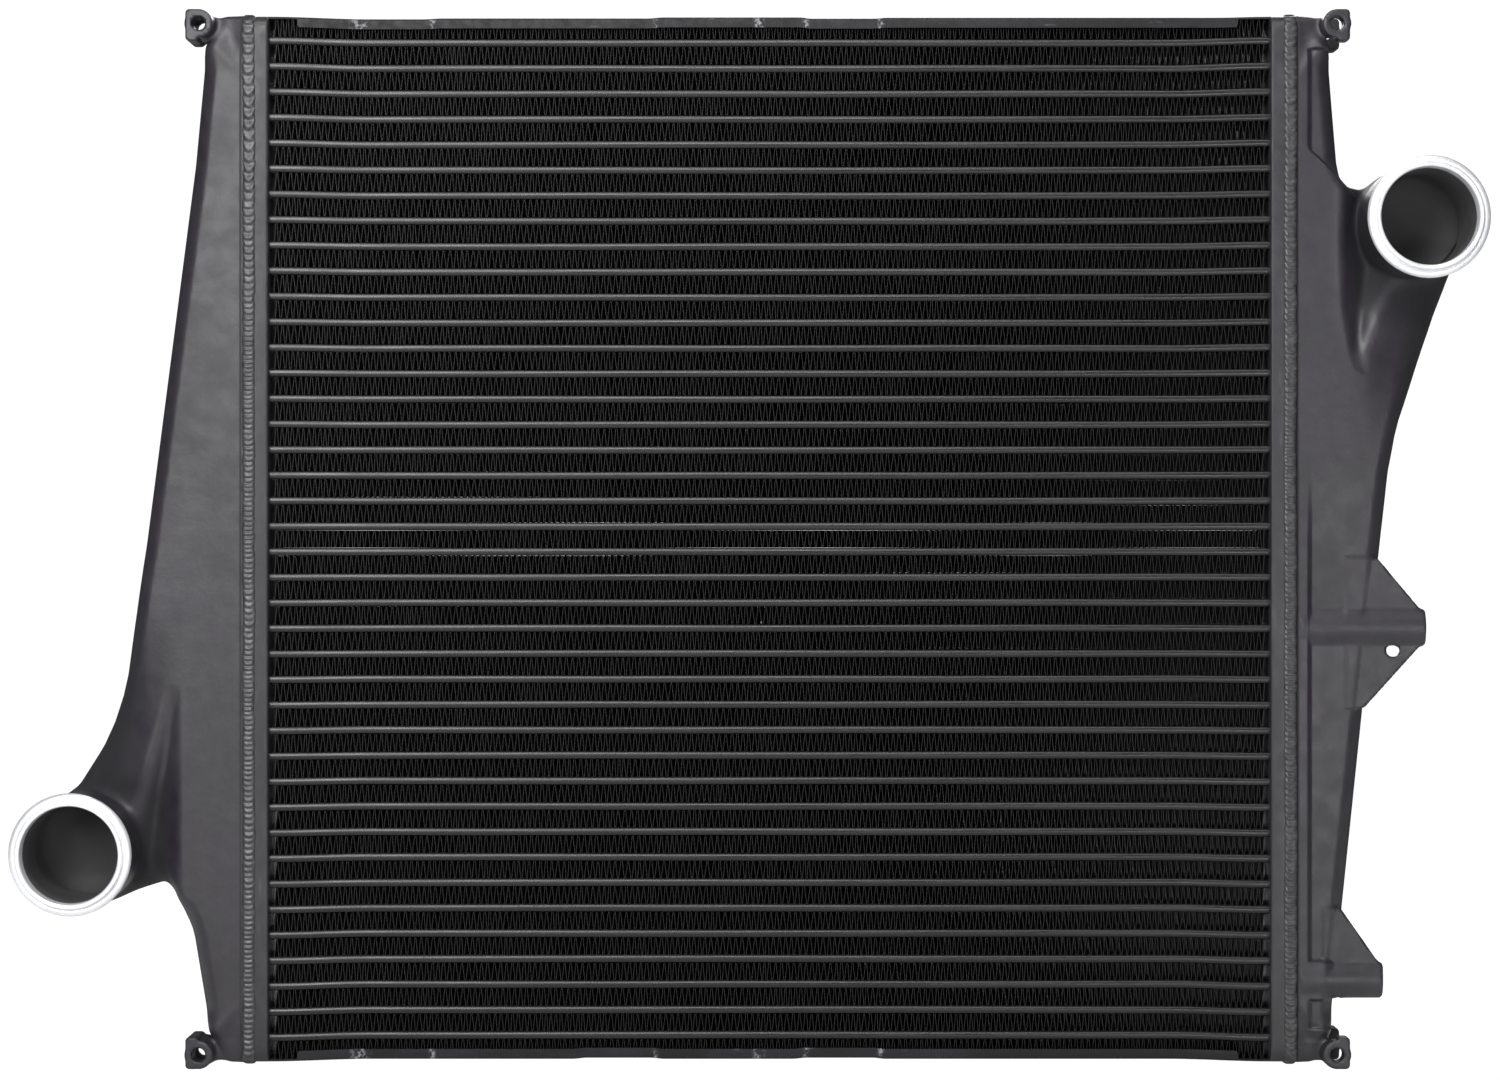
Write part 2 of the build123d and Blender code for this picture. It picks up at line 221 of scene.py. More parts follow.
def slab(outline, y, front, back, front_round, back_round):
    """The outline's distance carried from front to back, with rounded rims."""
    thickness = back - front
    front_round = np.minimum(front_round, np.maximum(thickness - back_round, 0.1))
    near = y - front < thickness * front_round / (front_round + back_round)
    radius = np.where(near, front_round, back_round)
    side = outline + radius
    face = np.where(near, front - y, y - back) + radius
    corner = np.hypot(np.maximum(side, 0), np.maximum(face, 0))
    return np.minimum(np.maximum(side, face), 0) + corner - radius


def graded(stops):
    """Grid lines from (position, step) stops: each step holds up to the next position."""
    lines = []
    for (start, step), (end, _) in zip(stops, stops[1:]):
        lines.append(np.linspace(start, end, max(1, round((end - start) / step)), endpoint=False))
    return np.concatenate(lines + [[stops[-1][0]]])


def surface(field, axes):
    """Quads on the surface where the field is 0, and their points."""
    values = field(axes[0][:, None, None], axes[1][None, :, None], axes[2][None, None, :])
    inside = values < 0
    cells = tuple(n - 1 for n in values.shape)
    filled = np.zeros(cells, np.int8)
    for i, j, k in np.ndindex(2, 2, 2):
        filled += inside[i : i + cells[0], j : j + cells[1], k : k + cells[2]]
    active = (filled > 0) & (filled < 8)
    ids = np.full(cells, -1)
    count = int(active.sum())
    ids[active] = np.arange(count)
    total, weight, faces = np.zeros((count, 3)), np.zeros(count), []
    for axis in range(3):
        low = tuple(slice(None, -1) if k == axis else slice(None) for k in range(3))
        high = tuple(slice(1, None) if k == axis else slice(None) for k in range(3))
        crossing = np.argwhere(inside[low] != inside[high])
        a, b = values[low][tuple(crossing.T)], values[high][tuple(crossing.T)]
        point = np.stack([axes[k][crossing[:, k]] for k in range(3)], 1)
        step = axes[axis][crossing[:, axis] + 1] - point[:, axis]
        point[:, axis] += step * a / (a - b)
        first, second = (axis + 1) % 3, (axis + 2) % 3
        around = []
        for d1, d2 in ((0, 0), (1, 0), (1, 1), (0, 1)):
            cell = crossing.copy()
            cell[:, first] -= d1
            cell[:, second] -= d2
            near = ids[tuple(cell.T)]
            around.append(near)
            weight += np.bincount(near, minlength=count)
            for k in range(3):
                total[:, k] += np.bincount(near, weights=point[:, k], minlength=count)
        quads = np.stack(around, 1)
        outward = inside[low][tuple(crossing.T)]
        faces.append(np.where(outward[:, None], quads, quads[:, ::-1]))
    return total / weight[:, None], np.concatenate(faces)


def slope(field, points, reach=0.25):
    """The field and its gradient at these points."""
    here = field(*points.T)
    gradient = np.empty_like(points)
    for k in range(3):
        shift = np.zeros(3)
        shift[k] = reach
        gradient[:, k] = (field(*(points + shift).T) - field(*(points - shift).T)) / (2 * reach)
    return here, gradient


def cast_mesh(field, axes, rounds=2, limit=1.2):
    """The field's surface with its points drawn onto it, and the normals there."""
    points, faces = surface(field, axes)
    for _ in range(rounds):
        here, gradient = slope(field, points)
        size = np.maximum((gradient**2).sum(1), 0.05)
        move = -np.clip(here / size, -limit, limit)[:, None] * gradient
        points = points + move
    _, gradient = slope(field, points)
    return points, faces, gradient / np.linalg.norm(gradient, axis=1, keepdims=True)


# ------------ tank shapes, mm
BODY_BACK = half_depth
BACK_BEVEL = (60.0, 90.0)  # the back falls to the neck's between these u
BODY_EDGE = 10.0  # round of the body's long edges
WALL = 7.0
NECK_BACK = 31.0
NECK_EDGE = 32.0  # round of the neck's outer edge, like a tube's
CORNER_STEP = 4.5  # the corner flats lie this far behind the face
CORNER_LINE = 404.0  # their step runs at 45 degrees from this height at the joint
PIPE_START_Y = -79.0
LUG_RADIUS = 12.5
LUG_OUTER = 11.5
LUG_END = 12.5
LUG_INNER = 15.5
LUG_HOLE = 6.0
LUG_CORNER = 3.5
LUG_BACK_Y = -5.0  # back of the left tank's bosses
EAR_BACK_Y = -33.0  # back of the right tank's front ears
REAR_EAR_Y = (9.0, 33.0)  # front and back of its rear ears
ROOT_REACH = 18.0  # half the length of the web between lug and body
ROOT_INSET = 5.5  # the web is this much narrower than the lug, and its fillet is as wide
EDGE_FALL = 7.5  # how far the body's outer edges fall away
EDGE_FALL_REACH = 12.0
NECK_SLOPE = 27.0  # how far the neck's face goes back beyond the ridge
NECK_SLOPE_LENGTH = 56.0
CREST_HEIGHT = 0.8  # low crest that catches the light along the stripe
CREST_WIDTH = 6.0
RIDGE_FALL = 26.0  # the ridge's inner side reaches the valley's floor within this
PIPE_JOIN = 8.0
BORE_JOIN = 18.0
SHOULDER_DEPTH = 2.6
SHOULDER_EDGE = (5.0, 7.6)  # the right face steps up from its shoulder between these u
PANEL_DEPTH = 4.0
PANEL_EDGE = (14.6, 20.0)  # and down into its sunk panels between these
UPPER_PANEL_START = 341.0  # v of its slanted lower edge, at the panels' side
UPPER_PANEL_SLANT = 0.9
UPPER_PANEL_END = (431.0, 434.0)
# each further panel's start and end in v, and its share of the depth
PANELS = [((-374, -370), (-50, 70), 1.0), ((-433, -430), (-408, -405), 0.7)]
RIB_HEIGHT = 5.2
BRACKET_SET_BACK = 4.0
BRACKET_SHEET = 4.5

left_port = (148.0, 274.0)
right_port = (113.0, 280.0)
left_x, left_z = joint_left - left_port[0], -left_port[1]
right_x, right_z = joint_right + right_port[0], right_port[1]
LEFT_CORNERS = [  # u, v, radius
    (-30, -462, 0),
    (23, -462, 8),
    (39.2, -435, 12),
    (49, -330, 0),
    (92.4, 5, 250),
    (102, 66, 250),
    (114, 130, 120),
    (130, 174, 100),
    (163, 226, 0),
    (148, 274, 0),
    (132.6, 322.4, 0),
    (71, 302.6, 15),
    (51, 345, 60),
    (36, 435, 12),
    (20, 462, 8),
    (-30, 462, 0),
]
left_outline = rounded_outline(LEFT_CORNERS)
# stripe and ridge are lines in u, v. The valley reaches its depth at this reach from the stripe.
Neck = namedtuple("Neck", "port stripe ridge depth reach fall")
left_neck = Neck(
    port=left_port,
    stripe=[(66, 110), (63, 150), (61, 200), (60.5, 330)],
    ridge=[(67.9, 120), (77, 155), (90.2, 197.6), (104.6, 243), (118, 290)],
    depth=28,
    reach=40,
    fall=7,
)
RIGHT_CORNERS = [
    (-30, -462, 0),
    (21, -462, 8),
    (37.4, -435, 12),
    (88.9, 60, 60),
    (96.5, 98, 90),
    (160.2, 261.2, 0),
    (113, 280, 0),
    (80, 312, 0),
    (45.5, 312, 13),
    (35.6, 435, 12),
    (20, 462, 8),
    (-30, 462, 0),
]
right_outline = rounded_outline(RIGHT_CORNERS)
right_neck = Neck(
    port=right_port,
    stripe=[(63.5, 136), (54, 165), (46.5, 205), (44.5, 262), (47, 330)],
    ridge=[(64.6, 134), (67.5, 165), (80, 196), (97, 226), (112, 252)],
    depth=25,
    reach=30,
    fall=11,
)
UPPER_BRACKET = [
    (50, -16.6, 0),
    (77.6, -16.6, 4),
    (116, -62.6, 6),
    (120, -76.7, 5),
    (118.3, -91, 4),
    (66, -149, 3),
    (50, -149, 0),
]
LOWER_BRACKET = [
    (30, -326, 0),
    (45.4, -326, 4),
    (81.5, -377.7, 4),
    (82, -387.4, 0),
    (81, -399.5, 3),
    (30, -403.3, 0),
]
BRACKET_HOLE = (91.4, -97.9)


def lug_outline(u, v, axis_u, axis_v):
    """Round towards the body, square outside, with its end side away from v = 0."""
    end = 1 if axis_v > 0 else -1
    middle_v = axis_v + end * (LUG_END - LUG_INNER) / 2
    across = np.abs(u - axis_u - LUG_OUTER / 2) - LUG_OUTER / 2 + LUG_CORNER
    along = np.abs(v - middle_v) - (LUG_END + LUG_INNER) / 2 + LUG_CORNER
    round_corners = np.hypot(np.maximum(across, 0), np.maximum(along, 0))
    block = round_corners + np.minimum(np.maximum(across, along), 0) - LUG_CORNER
    return np.minimum(block, np.hypot(u - axis_u, v - axis_v) - LUG_RADIUS)


def lug_root(u, v, axis_u, axis_v):
    """The web that ties the lug to the body."""
    end = 1 if axis_v > 0 else -1
    across = np.abs(u - axis_u + ROOT_REACH) - ROOT_REACH
    along = np.abs(v - axis_v - end * (LUG_END - LUG_INNER) / 2) - (LUG_END + LUG_INNER) / 2 + ROOT_INSET
    return np.maximum(across, along)


def pipe_distance(u, v, port):
    """Distance from the port's axis."""
    return np.hypot(u - port[0], v - port[1])


def soft_ramp(x, length):
    """0 up to x = 0, then a straight rise to 1 at this length, with both bends softened."""
    t = np.clip(x / length, -0.25, 1.25)
    low = np.where(t < 0.25, (t + 0.25) ** 2, t)
    return np.where(t > 0.75, 1 - (1.25 - t) ** 2, low)


def one_bend(x, length, soft=0.14):
    """0 up to x = 0, then a straight rise that is 1 at this length, with its first bend softened."""
    t = x / length
    return np.where(t < soft, np.maximum(t + soft, 0) ** 2 / (4 * soft), t)


def beside(u, v, line):
    """Signed distance to a line through points, more than 0 on its outer side. Its ends carry on."""
    best, result = np.full(np.broadcast(u, v).shape, 1e12), 0.0
    last = len(line) - 2
    for k, ((au, av), (bu, bv)) in enumerate(zip(line, line[1:])):
        eu, ev = bu - au, bv - av
        length = np.hypot(eu, ev)
        t = ((u - au) * eu + (v - av) * ev) / length**2
        t = np.clip(t, -9 if k == 0 else 0, 9 if k == last else 1)
        away = np.hypot(u - au - eu * t, v - av - ev * t)
        side = np.sign((u - au) * ev - (v - av) * eu)
        nearer = away < best
        result = np.where(nearer, side * away, result)
        best = np.minimum(best, away)
    return result


def neck_face(u, v, neck):
    """How far the neck's face lies behind the body's. It falls from the stripe and from the ridge."""
    past_stripe, outside = beside(u, v, neck.stripe), beside(u, v, neck.ridge)
    from_stripe = neck.depth * one_bend(past_stripe, neck.reach)
    from_ridge = neck.depth * one_bend(-outside - 4, RIDGE_FALL, 0.3)
    valley = np.clip(join(from_stripe, from_ridge, 7), 0, neck.depth)
    crest = CREST_HEIGHT * np.exp(-((past_stripe / CREST_WIDTH) ** 2))
    crest = crest * smooth(v, neck.stripe[0][1] + 20, neck.stripe[1][1] + 40)
    start = neck.ridge[0][1]
    slope_back = NECK_SLOPE * soft_ramp(outside - 1, NECK_SLOPE_LENGTH) * smooth(v, start - 60, start + 70)
    near_port = smooth(-pipe_distance(u, v, neck.port), -100, -54) * smooth(past_stripe, 2, 24)
    return valley + slope_back + neck.fall * near_port - crest


def edge_fall(side, u, v, port):
    """The body's outer edges fall away steeply, though not where the neck comes out."""
    past_neck = smooth(v, port[1] + 40, port[1] + 56)
    along = 1 - smooth(v, port[1] - 190, port[1] - 90) + past_neck
    away_from_lugs = 1 - smooth(np.abs(v), LUG_Z - 41, LUG_Z - 23)
    fall = EDGE_FALL * np.clip(one_bend(side + EDGE_FALL_REACH, EDGE_FALL_REACH, 0.2), 0, 1.2)
    return fall * along * smooth(u, 16, 32) * away_from_lugs


def tank_field(u, y, v, outline, port, front, rim_round, lugs, extras):
    """One tank: a slab with a shaped front, its port pipe, lugs and extras, hollowed by its wall."""
    round_port = pipe_distance(u, v, port)
    side = polygon(u, v, outline)
    front = front + edge_fall(side, u, v, port)
    back = BODY_BACK - (BODY_BACK - NECK_BACK) * smooth(u, *BACK_BEVEL)
    solid = slab(side, y, front, back, rim_round, BODY_EDGE)
    pipe = slab(round_port - PORT_NECK, y, PIPE_START_Y, NECK_BACK, 0.6, 16)
    hull = solid = join(solid, pipe, PIPE_JOIN)
    for extra in extras:
        solid = join(solid, extra(u, y, v), 3)
    for lug in lugs:
        solid = join(solid, lug(u, y, v), 5)
    inner = slab(side + WALL, y, front + WALL - 1, back - WALL, np.maximum(rim_round - WALL, 4), 16)
    inner = np.maximum(inner, hull + WALL + 1)  # never nearer to the outside than the wall
    inner = join(inner, slab(round_port - PORT_BORE, y, PIPE_START_Y - 9, 18, 0.1, 18), BORE_JOIN)
    solid = cut(solid, inner, 1.5)
    return cut(solid, u, 2)


def corner_flats(u, v):
    """How far the face lies back near its four corners, after a low ridge."""
    beyond = (np.abs(v) - u - CORNER_LINE) / np.sqrt(2)
    ridge = np.exp(-((beyond / 5) ** 2)) * 0.5 * smooth(u, 4, 16)
    return CORNER_STEP * smooth(beyond, -2, 21) * smooth(u, -2, 20) - ridge


def rim_rounding(u, v, start, end):
    """The outer edge gets rounder along the neck."""
    return BODY_EDGE + (NECK_EDGE - BODY_EDGE) * smooth(v, start, end) * smooth(u, 62, 88)


def left_lug(axis_v):
    """One deep boss, drilled through."""
    axis_u = joint_left + LUG_X

    def field(u, y, v):
        boss = slab(lug_outline(u, v, axis_u, axis_v), y, LUG_FACE_Y, LUG_BACK_Y, 1.5, 2)
        root = slab(lug_root(u, v, axis_u, axis_v), y, -30.5, LUG_BACK_Y, 2, 2)
        boss = join(boss, root, ROOT_INSET)
        return cut(boss, np.hypot(u - axis_u, v - axis_v) - LUG_HOLE, 1.2)

    return field


def right_lug(axis_v):
    """Two thinner ears in line, one at the front and one at the back."""
    axis_u = LUG_X - joint_right

    def field(u, y, v):
        outline, root = lug_outline(u, v, axis_u, axis_v), lug_root(u, v, axis_u, axis_v)
        ear = slab(outline, y, LUG_FACE_Y, EAR_BACK_Y, 1.5, 1.5)
        ear = join(ear, slab(root, y, -31.5, -24, 2, 1), ROOT_INSET)
        rear = np.minimum(slab(outline, y, *REAR_EAR_Y, 1.5, 1.5), slab(root, y, *REAR_EAR_Y, 1, 1))
        return cut(np.minimum(ear, rear), np.hypot(u - axis_u, v - axis_v) - LUG_HOLE, 1.2)

    return field


def left_field(u, y, v):
    front = -half_depth + corner_flats(u, v) + neck_face(u, v, left_neck)
    rim = rim_rounding(u, v, 20, 190)
    lugs = [left_lug(-LUG_Z), left_lug(LUG_Z)]
    return tank_field(u, y, v, left_outline, left_port, front, rim, lugs, [])


def right_relief(u, v):
    """Depth of the shoulder, the sunk panels and the flush stretches between them."""
    shoulder = SHOULDER_DEPTH * (1 - smooth(u, *SHOULDER_EDGE))
    slanted = v - UPPER_PANEL_START + (u - PANEL_EDGE[1]) * UPPER_PANEL_SLANT
    sunk = smooth(slanted, -1.5, 1.5) * (1 - smooth(v, *UPPER_PANEL_END))
    for start, end, share in PANELS:
        sunk = sunk + smooth(v, *start) * (1 - smooth(v, *end)) * share
    return shoulder + PANEL_DEPTH * smooth(u, *PANEL_EDGE) * np.clip(sunk, 0, 1)


def rib(axis_v, half_width, start_u, end_u):
    """A half-round rib that stands a little over the rim's level."""
    radius = (half_width**2 + RIB_HEIGHT**2) / (2 * RIB_HEIGHT)
    crest_y = -half_depth - 1.0

    def field(u, y, v):
        round_top = np.hypot(y - crest_y - radius, v - axis_v) - radius
        ends = np.maximum(start_u - u, u - end_u)
        return cut(np.maximum(round_top, y + 29), -ends, 2)

    return field


def bracket(corners):
    """A flat ear beside the body. Only the upper one reaches as far as the hole."""
    outline = rounded_outline(corners)
    front = -half_depth + BRACKET_SET_BACK

    def field(u, y, v):
        plate = slab(polygon(u, v, outline), y, front, front + BRACKET_SHEET, 1, 1)
        return cut(plate, np.hypot(u - BRACKET_HOLE[0], v - BRACKET_HOLE[1]) - LUG_HOLE, 0.8)

    return field


def right_field(u, y, v):
    front = -half_depth + corner_flats(u, v) + right_relief(u, v) + neck_face(u, v, right_neck)
    rim = rim_rounding(u, v, 70, 210)
    lugs = [right_lug(-LUG_Z), right_lug(LUG_Z)]
    extras = [
        bracket(UPPER_BRACKET),
        bracket(LOWER_BRACKET),
        rib(-78.0, 13.8, 10, 120),
        rib(-389.6, 13.7, 10, 82),
    ]
    return tank_field(u, y, v, right_outline, right_port, front, rim, lugs, extras)


# grid lines in u, y and v, closer where the shape is finer
LEFT_AXES = [
    graded([(-3, 2.2), (60, 2.5), (206, 0)]),
    graded([(-97, 2.8), (-50, 1.9), (-20, 2.8), (40, 0)]),
    graded([(-469, 1.9), (-425, 3.0), (-380, 4.4), (-20, 3.0), (90, 2.4), (330, 3.0), (425, 1.9), (469, 0)]),
]
RIGHT_AXES = [
    graded([(-3, 1.4), (24, 2.5), (170, 0)]),
    graded([(-97, 2.8), (-50, 1.6), (-24, 2.8), (40, 0)]),
    graded([(-469, 1.9), (-370, 4.2), (-155, 2.0), (-50, 3.6), (90, 2.4), (360, 3.0), (425, 1.9), (469, 0)]),
]


def make_tank(name, field, axes, joint_x, turn, paint):
    """A casting brought from its own u and v to its side of the core. turn holds the axes' signs."""
    points, faces, normals = cast_mesh(field, axes)
    points = points * turn + (joint_x, 0, 0)
    add_mesh(f"{name}_casting", points, faces, paint, "tank_paint", [name], normals * turn)


# ------------ turned port ends
BEAD_ROUND = 3.9
BEAD_Y = -83.9
BEAD_TURN = np.radians(np.linspace(-44, 160, 15))
RING_SIDES = 160
RING_PROFILE = [  # radius, y
    (PORT_BORE, PIPE_START_Y),
    (PORT_BORE, -90.2),
    (PORT_BORE + 0.5, -91.4),
    (PORT_BORE + 1.3, PORT_FACE_Y),
    (PORT_TIP - 0.7, PORT_FACE_Y),
    (PORT_TIP - 0.1, -91.5),
    (PORT_TIP, -90.8),
    (PORT_TIP, -87.2),
    *[(PORT_BEAD - BEAD_ROUND * (1 - np.sin(a)), BEAD_Y - BEAD_ROUND * np.cos(a)) for a in BEAD_TURN],
    (PORT_NECK, -79.6),
    (PORT_NECK, PIPE_START_Y),
]


def make_ring(side, x, z):
    """The bare turned end of a port: bore edge, face, hose bead and its back."""
    angles = np.linspace(0, 2 * np.pi, RING_SIDES, endpoint=False)
    radius, y = np.array(RING_PROFILE).T
    rings = rings_at(x + np.cos(angles)[:, None] * radius, y, z + np.sin(angles)[:, None] * radius)
    metal = turned_aluminium(f"turned_{side}", x, z)
    add_mesh(f"port_ring_{side}", *closed_loop(rings), metal, "bare_aluminium", sharp=24)


# ------------ core
FIN_WAVES = 172
FIN_SHEET = 0.32
FIN_END_GAP = 3.0
FIN_DEPTH = 54.0
FIN_CHEVRON = 4.4  # sideways bend of the fins half-way back
ROWS_PER_BANK = 6
PULL_IN = 0.005  # the stack is drawn together by this share away from the headers
PULL_LENGTH = 90.0
FOLD_UNEVEN = 0.13  # share by which single folds differ in width
ROW_UNEVEN = 0.12  # and by which each row leans its folds one way
FOLD_DRIFT = 0.08  # and by which the lean comes and goes along a row
FOLD_DRIFT_RATE = 0.11
TUBE_SWAY = 0.18  # how far a tube bends up and down
TUBE_NOSE = 2.9
STRIP_HALF = 23.0  # half the depth of the strip inside a tube
STRIP_FOLDS = 13
STRIP_SHEET = 0.44
TUBE_REACH = 6.0  # tube ends past the header's core face


def drawn_in(x, z):
    """Height after the core's stack was pressed and brazed: a little closer away from the headers."""
    reach = np.minimum(x - core_left, core_right - x)
    return z * (1 - PULL_IN * smooth(reach, 0, PULL_LENGTH))


def core_stations(start, end, middle_step=110.0):
    """x lines along the core, closer where it flares out to the headers."""
    count = int((core_right - core_left) / middle_step)
    inner = np.linspace(core_left + PULL_LENGTH, core_right - PULL_LENGTH, count)
    near = np.linspace(0, PULL_LENGTH, 9)[:-1]
    return np.unique(np.concatenate([[start], core_left + near, inner, core_right - near, [end]]))


def fin_row(index, rng):
    """One folded row, no two folds alike. Each channel bends half-way back, so nothing shows through."""
    half = (TUBE_PITCH - TUBE_HEIGHT) / 2 - FIN_SHEET / 2
    start, end = core_left + FIN_END_GAP, core_right - FIN_END_GAP
    folds = 2 * FIN_WAVES
    spacing = 1 + FOLD_UNEVEN * rng.standard_normal(folds)
    lean = ROW_UNEVEN * rng.standard_normal()
    drift = FOLD_DRIFT * np.sin(np.arange(FIN_WAVES) * FOLD_DRIFT_RATE + rng.uniform(0, 6))
    spacing[::2] += lean + drift
    edges = np.concatenate([[0], np.cumsum(np.clip(spacing, 0.6, 1.4))])
    edges = start + (end - start) * edges / edges[-1]
    middle = (edges[1:] + edges[:-1]) / 2
    crest = 0.35 + 0.4 * rng.random(folds)
    side = np.where(np.arange(folds) % 2, half, -half)
    along = np.stack([np.stack([middle - crest, middle + crest], 1).ravel(), np.repeat(side, 2)], 1)
    tangent = np.gradient(along, axis=0)
    tangent /= np.linalg.norm(tangent, axis=1, keepdims=True)
    across = np.stack([-tangent[:, 1], tangent[:, 0]], 1) * FIN_SHEET / 2
    a, b = along + across, along - across
    front, back = -FIN_DEPTH / 2, FIN_DEPTH / 2
    rings = np.empty((len(along), 6, 3))
    for k, (line, y) in enumerate(((a, front), (a, 0), (a, back), (b, back), (b, 0), (b, front))):
        shift = 0 if y else FIN_CHEVRON * smooth(core_right - line[:, 0], 0, 25)
        rings[:, k, 0], rings[:, k, 1], rings[:, k, 2] = line[:, 0] + shift, y, line[:, 1]
    level = (index - TUBE_COUNT / 2) * TUBE_PITCH
    rings[..., 2] = drawn_in(rings[..., 0], rings[..., 2] + level)
    return bar(rings)


def tube_ring(height, depth, nose):
    """A flat tube's section with rounded noses, as (y, z) points."""
    turn = np.linspace(-np.pi / 2, np.pi / 2, 9)
    y = depth / 2 - nose + nose * np.cos(turn) ** 0.8
    z = height / 2 * np.sign(np.sin(turn)) * np.abs(np.sin(turn)) ** 0.85
    half = np.stack([y, z], 1)
    return np.concatenate([half, -half])


def carried(section, x, level):
    """Rings of a (y, z) section at these x, drawn in with the core's stack."""
    return rings_at(x[:, None], section[:, 0], drawn_in(x, level)[:, None] + section[:, 1])


def make_core(fin_material, tube_material, strip_material):
    """Fin rows, flat tubes, and the folded strip inside each tube."""
    rng = np.random.default_rng(SEED)
    for bank, first in enumerate(range(0, TUBE_COUNT + 1, ROWS_PER_BANK), 1):
        rows = range(first, min(first + ROWS_PER_BANK, TUBE_COUNT + 1))
        fins = merged([fin_row(index, rng) for index in rows])
        node = f"fin_bank_{bank:02d}"
        add_mesh(f"fins_{bank:02d}", *fins, fin_material, "fin_paint", [node], sharp=20)
    x = core_stations(core_left - TUBE_REACH, core_right + TUBE_REACH)
    outside = tube_ring(TUBE_HEIGHT, CORE_DEPTH, TUBE_NOSE)
    inside = tube_ring(TUBE_HEIGHT - 2 * TUBE_WALL, CORE_DEPTH - 2 * TUBE_WALL, TUBE_NOSE - 0.5)
    strip_x = core_stations(core_left - 2, core_right + 2, 220.0)
    folds = np.linspace(-STRIP_HALF, STRIP_HALF, STRIP_FOLDS)
    ridge = np.where(np.arange(STRIP_FOLDS) % 2, 1.0, -1.0) * (TUBE_HEIGHT / 2 - TUBE_WALL - 0.35)
    upper = np.stack([folds, ridge + STRIP_SHEET / 2], 1)
    lower = np.stack([folds, ridge - STRIP_SHEET / 2], 1)
    strip = np.concatenate([upper, lower[::-1]])
    strips = []
    for index in range(TUBE_COUNT):
        level = (index - (TUBE_COUNT - 1) / 2) * TUBE_PITCH
        sway = TUBE_SWAY * np.sin(x * 0.013 * rng.uniform(0.7, 1.4) + rng.uniform(0, 6))
        sway = sway * smooth(CORE_WIDTH / 2 - np.abs(x), 0, PULL_LENGTH)
        outer, inner = carried(outside, x, level), carried(inside, x, level)
        outer[..., 2] += sway[:, None]
        inner[..., 2] += sway[:, None]
        name = f"tube_{index + 1:02d}"
        add_mesh(f"flat_{name}", *shell(outer, inner), tube_material, "tube_paint", [name], sharp=50)
        strips.append(bar(carried(strip, strip_x, level)))
    strips = merged(strips)
    add_mesh("tube_turbulators", *strips, strip_material, "bare_aluminium", ["turbulators"], sharp=20)


# ------------ headers and welds
WELD_WIDTH = 12.0
WELD_CROWN = 2.4
WELD_ROOT = 3.0  # how far the bead's sides go down into the joint
POOL_PITCH = 4.5  # pools are this long, and longer high on the welds, most on the left one
POOL_PITCH_COARSE = 5.0
POOL_CURVE = 0.36  # a pool's edge lags by this share of a pool at the bead's sides
POOL_DEPTH = 1.25  # of the dips between pools, and deeper where they are long
POOL_DEPTH_COARSE = 0.55
WELD_WANDER = 0.25
BEAD_HALF = (0.17, 0.48, 0.72, 0.88, 0.96, 1.0)  # places across half the bead
HEADER_EDGE = 2.2


def loop(half_y, half_z, radius, step):
    """Points round a rounded rectangle in y and z, their outward directions, and the way along it."""
    straight_y, straight_z, quarter = 2 * (half_y - radius), 2 * (half_z - radius), np.pi / 2 * radius
    parts = []
    for k in range(4):
        heading = k * np.pi / 2
        length, reach_out = (straight_y, half_z) if k % 2 else (straight_z, half_y)
        ahead = np.array((np.sin(heading), np.cos(heading)))
        out = np.array((-np.cos(heading), np.sin(heading)))
        t = np.linspace(0, 1, max(2, int(length / step)), endpoint=False)[:, None]
        line = out * reach_out + ahead * (t - 0.5) * length
        parts.append((line, np.repeat(out[None], len(t), 0)))
        turn = np.linspace(0, np.pi / 2, max(4, int(quarter / step)), endpoint=False)[:, None]
        normal = out * np.cos(turn) + ahead * np.sin(turn)
        centre = out * (reach_out - radius) + ahead * length / 2
        parts.append((centre + normal * radius, normal))
    place, out = (np.concatenate(part) for part in zip(*parts))
    way = np.concatenate([[0], np.cumsum(np.linalg.norm(np.diff(place, axis=0), axis=1))])
    return place, out, way


def make_header(name, face_x, side, paint):
    """A pressed channel with a rounded edge round its core face."""
    place, out, _ = loop(half_depth, half_height, HEADER_CORNER, 6.0)
    turn = np.linspace(0, np.pi / 2, 6)
    profile = [(HEADER_EDGE * (1 - np.sin(a)), HEADER_EDGE * (1 - np.cos(a))) for a in turn]  # inset, depth
    profile += [(0, HEADER_FLANGE), (HEADER_PLATE, HEADER_FLANGE)]
    profile += [(HEADER_PLATE, HEADER_PLATE + 2), (HEADER_PLATE + 2, HEADER_PLATE)]
    rings = np.empty((len(profile), len(place), 3))
    for k, (inset, depth) in enumerate(profile):
        ring = place - out * inset
        rings[k] = np.column_stack([np.full(len(ring), face_x + side * depth), ring])
    add_mesh(f"{name}_channel", *bar(rings), paint, "header_paint", [name], sharp=40)


